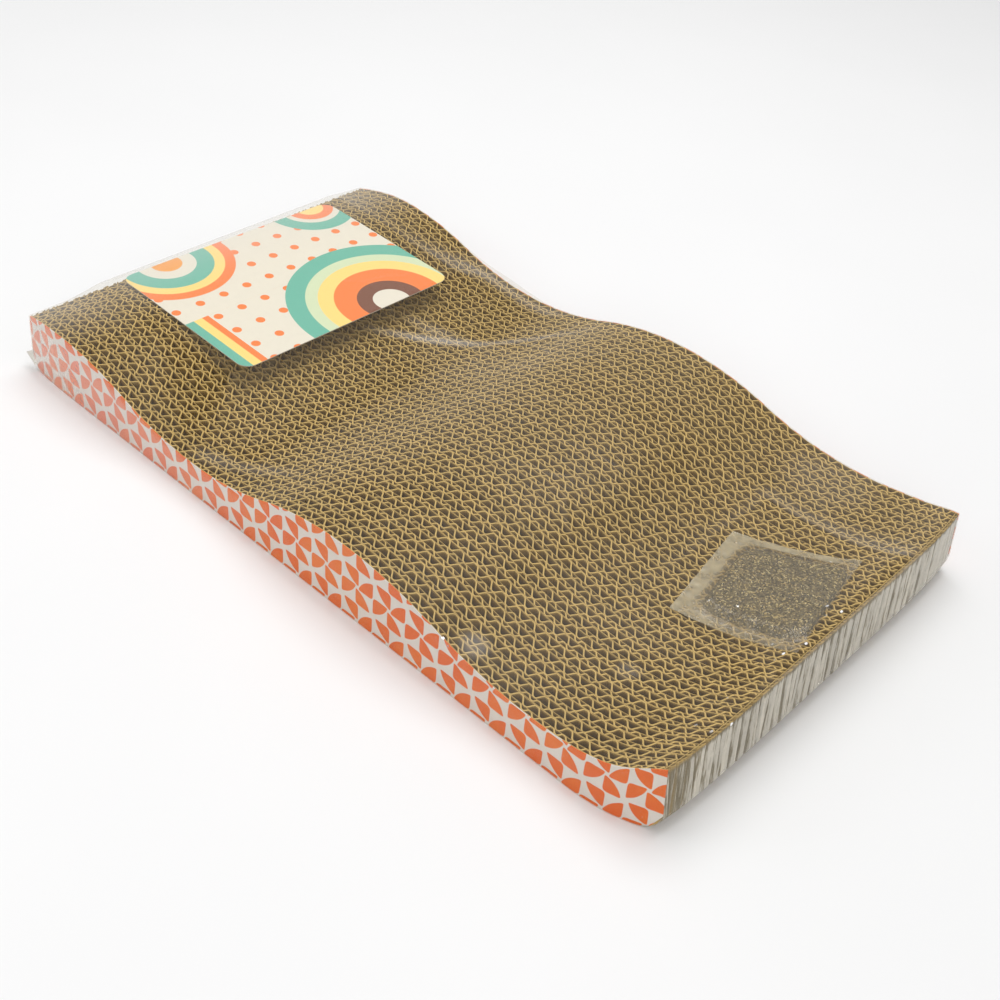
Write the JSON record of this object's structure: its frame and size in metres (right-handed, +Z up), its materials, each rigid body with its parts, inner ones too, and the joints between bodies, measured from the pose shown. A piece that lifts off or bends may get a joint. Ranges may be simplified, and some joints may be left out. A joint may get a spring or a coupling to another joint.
{
  "type": "cardboard cat scratcher",
  "caption": "Wave-topped cat scratcher of corrugated strips set on edge, with printed paper sides, a printed card on the rear hump and a clear catnip bag in the front dip.",
  "frame": {"origin": "middle of the flat underside", "axes": "+X along the length from the rear hump to the front edge, +Y from the near to the far printed side, +Z up"},
  "size_m": [0.44, 0.25, 0.04],
  "materials": {
    "corrugated_board": "matte",
    "printed_paper": "satin",
    "label_board": "satin",
    "clear_film": "gloss",
    "dried_catnip": "matte"
  },
  "bodies": {
    "block": {"board_strip_01": "corrugated_board", "board_strip_02": "corrugated_board", "board_strip_03": "corrugated_board", "board_strip_04": "corrugated_board", "board_strip_05": "corrugated_board", "board_strip_06": "corrugated_board", "board_strip_07": "corrugated_board", "board_strip_08": "corrugated_board", "board_strip_09": "corrugated_board", "board_strip_10": "corrugated_board", "board_strip_11": "corrugated_board", "board_strip_12": "corrugated_board", "board_strip_13": "corrugated_board", "board_strip_14": "corrugated_board", "board_strip_15": "corrugated_board", "board_strip_16": "corrugated_board", "board_strip_17": "corrugated_board", "board_strip_18": "corrugated_board", "board_strip_19": "corrugated_board", "board_strip_20": "corrugated_board", "board_strip_21": "corrugated_board", "board_strip_22": "corrugated_board", "board_strip_23": "corrugated_board", "board_strip_24": "corrugated_board", "board_strip_25": "corrugated_board", "board_strip_26": "corrugated_board", "board_strip_27": "corrugated_board", "board_strip_28": "corrugated_board", "board_strip_29": "corrugated_board", "board_strip_30": "corrugated_board", "board_strip_31": "corrugated_board", "board_strip_32": "corrugated_board", "board_strip_33": "corrugated_board", "board_strip_34": "corrugated_board", "board_strip_35": "corrugated_board", "board_strip_36": "corrugated_board", "board_strip_37": "corrugated_board", "board_strip_38": "corrugated_board", "printed_facing_near": "printed_paper", "printed_facing_far": "printed_paper"},
    "card": {"label_card": "label_board"},
    "sachet": {"sachet_back_web": "clear_film", "sachet_front_web": "clear_film", "catnip_fill": "dried_catnip"}
  },
  "joints": [
    {"name": "card_shift", "type": "slide", "parent": "block", "child": "card", "axis": [0, 1, 0], "range_m": [-0.008, 0.008]},
    {"name": "sachet_shift", "type": "slide", "parent": "block", "child": "sachet", "axis": [0, 1, 0], "range_m": [-0.01, 0.01]}
  ]
}
